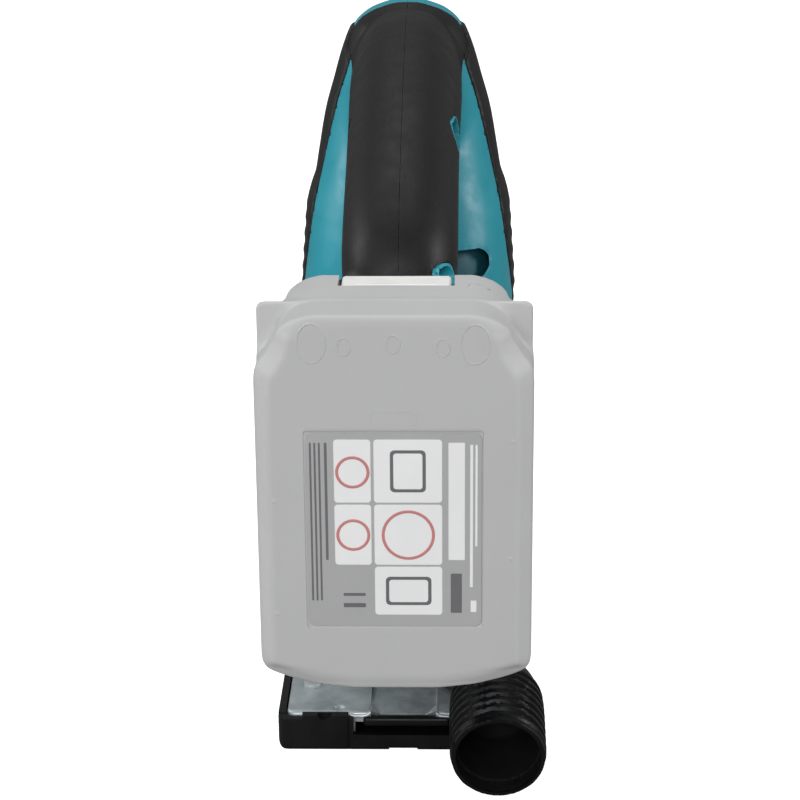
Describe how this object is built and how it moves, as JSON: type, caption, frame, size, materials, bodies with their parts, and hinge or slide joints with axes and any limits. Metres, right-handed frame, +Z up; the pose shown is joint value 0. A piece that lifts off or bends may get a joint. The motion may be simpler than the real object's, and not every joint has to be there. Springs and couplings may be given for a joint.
{
  "type": "jigsaw",
  "caption": "Cordless orbital jigsaw with a D-handle, tilting base, dust outlet and slide-on battery pack, for cutting curves in wood and sheet.",
  "frame": {"origin": "centre of the sole, on the plane that rests on the work", "axes": "+Y along the cut, towards the blade's cutting side; +X to the operator's right; +Z up, out of the work"},
  "size_m": [0.0842, 0.262, 0.2162],
  "materials": {
    "teal_plastic": "satin teal moulded plastic",
    "grip_rubber": "soft black rubber, finely grained",
    "black_plastic": "black glass-filled plastic, satin",
    "cast_aluminium": "raw die casting",
    "sheet_steel": "zinc-plated sheet",
    "tool_steel": "ground steel",
    "dark_steel": "blackened steel",
    "bronze": "sintered bronze",
    "copper": "copper windings and segments",
    "magnet": "ferrite",
    "carbon": "pressed carbon",
    "felt": "felt",
    "circuit_board": "green circuit board",
    "cell_wrap": "shrink-wrapped cell",
    "wire": "insulated lead",
    "pack_plastic": "light grey moulded plastic",
    "label": "printed plate with plain panels",
    "button_plastic": "near-white plastic",
    "insert_plastic": "off-white plastic",
    "clear_plastic": "clear plastic",
    "lens": "clear lens"
  },
  "bodies": {
    "body": {"housing_left": "teal_plastic", "housing_right": "teal_plastic", "grip_left": "grip_rubber", "grip_right": "grip_rubber", "bumper_left": "grip_rubber", "bumper_right": "grip_rubber", "housing_screws": "dark_steel", "gear_housing": "cast_aluminium", "head_cover": "grip_rubber", "plunger_bushings": "bronze", "plunger_seal": "felt", "gear_pin": "tool_steel", "motor_can": "sheet_steel", "motor_magnets": "magnet", "motor_end_bell": "black_plastic", "motor_bearings": "tool_steel", "brush_holders": "bronze", "carbon_brushes": "carbon", "switch_body": "black_plastic", "controller_board": "circuit_board", "terminal_block": "black_plastic", "lamp_lens": "lens", "wiring_loom": "wire", "bevel_bolt": "dark_steel", "retainer_pin": "tool_steel"},
    "rotor": {"rotor_shaft": "tool_steel", "rotor_core": "copper", "commutator": "copper", "cooling_fan": "black_plastic"},
    "gear": {"crank_gear": "tool_steel"},
    "counterweight": {"counterweight": "sheet_steel"},
    "plunger": {"plunger_rod": "tool_steel", "plunger_yoke": "tool_steel", "blade_clamp": "dark_steel"},
    "clamp_lever": {"clamp_lever": "black_plastic"},
    "orbital": {"retainer_arm": "tool_steel", "roller_pin": "tool_steel"},
    "roller": {"blade_roller": "tool_steel"},
    "selector": {"selector_lever": "black_plastic", "selector_shaft": "tool_steel"},
    "trigger": {"trigger": "black_plastic"},
    "lock_off": {"lock_button": "black_plastic"},
    "base": {"base_plate": "sheet_steel", "base_cover": "black_plastic", "bevel_saddle": "sheet_steel", "splinter_insert": "insert_plastic", "dust_nozzle": "black_plastic", "base_screws": "dark_steel", "hex_key": "dark_steel"},
    "dust_cover": {"dust_cover": "clear_plastic"},
    "battery": {"battery_case": "pack_plastic", "battery_rails": "black_plastic", "battery_cells": "cell_wrap", "battery_board": "circuit_board", "battery_label": "label", "battery_screws": "dark_steel", "latch_spring": "tool_steel"},
    "latch": {"latch_button": "button_plastic"},
    "gauge": {"gauge_button": "black_plastic"}
  },
  "joints": [
    {"name": "rotor_spin", "type": "hinge", "parent": "body", "child": "rotor", "pos_m": [0, 0, 0.084], "axis": [0, 1, 0], "continuous": true},
    {"name": "gear_spin", "type": "hinge", "parent": "body", "child": "gear", "pos_m": [0, 0.02, 0.11], "axis": [0, 1, 0], "continuous": true},
    {"name": "plunger_stroke", "type": "slide", "parent": "body", "child": "plunger", "axis": [0, 0, 1], "range_m": [-0.013, 0.013]},
    {"name": "counterweight_slide", "type": "slide", "parent": "body", "child": "counterweight", "axis": [0, 0, 1], "range_m": [-0.0065, 0.0065]},
    {"name": "clamp_lever_turn", "type": "hinge", "parent": "plunger", "child": "clamp_lever", "pos_m": [0, 0.048, 0.048], "axis": [0, 0, 1], "range_deg": [0, 60], "stiffness_Nm_per_rad": 0.02, "springref_deg": -11.46},
    {"name": "retainer_swing", "type": "hinge", "parent": "body", "child": "orbital", "pos_m": [0, 0.0295, 0.057], "axis": [1, 0, 0], "range_deg": [0, 3]},
    {"name": "roller_spin", "type": "hinge", "parent": "orbital", "child": "roller", "pos_m": [0, 0.0376, 0.0184], "axis": [1, 0, 0], "continuous": true},
    {"name": "selector_turn", "type": "hinge", "parent": "body", "child": "selector", "pos_m": [-0.02, 0.017, 0.046], "axis": [1, 0, 0], "range_deg": [-40, 40]},
    {"name": "trigger_pull", "type": "hinge", "parent": "body", "child": "trigger", "pos_m": [0, -0.008, 0.172], "axis": [-1, 0, 0], "range_deg": [0, 7], "stiffness_Nm_per_rad": 1.5, "springref_deg": -8.59},
    {"name": "lock_off_push", "type": "slide", "parent": "body", "child": "lock_off", "axis": [1, 0, 0], "range_m": [0, 0.004], "stiffness_N_per_m": 300, "springref_m": -0.002},
    {"name": "base_bevel", "type": "hinge", "parent": "body", "child": "base", "pos_m": [0, 0, 0.003], "axis": [0, 1, 0], "range_deg": [-45, 45]},
    {"name": "dust_cover_slide", "type": "slide", "parent": "body", "child": "dust_cover", "axis": [0, 0, 1], "range_m": [0, 0.028]},
    {"name": "battery_slide", "type": "slide", "parent": "body", "child": "battery", "axis": [0, 0, 1], "range_m": [0, 0.09]},
    {"name": "latch_press", "type": "slide", "parent": "battery", "child": "latch", "axis": [0, 0, -1], "range_m": [0, 0.0025], "stiffness_N_per_m": 800, "springref_m": -0.002, "deforming": ["latch_spring"]},
    {"name": "gauge_press", "type": "slide", "parent": "battery", "child": "gauge", "axis": [0, 0, -1], "range_m": [0, 0.0008], "stiffness_N_per_m": 400, "springref_m": -0.001}
  ],
  "couplings": [
    {"joint": "gear_spin", "follows": "rotor_spin", "ratio": -0.18182},
    {"joint": "counterweight_slide", "follows": "plunger_stroke", "ratio": -0.5}
  ]
}
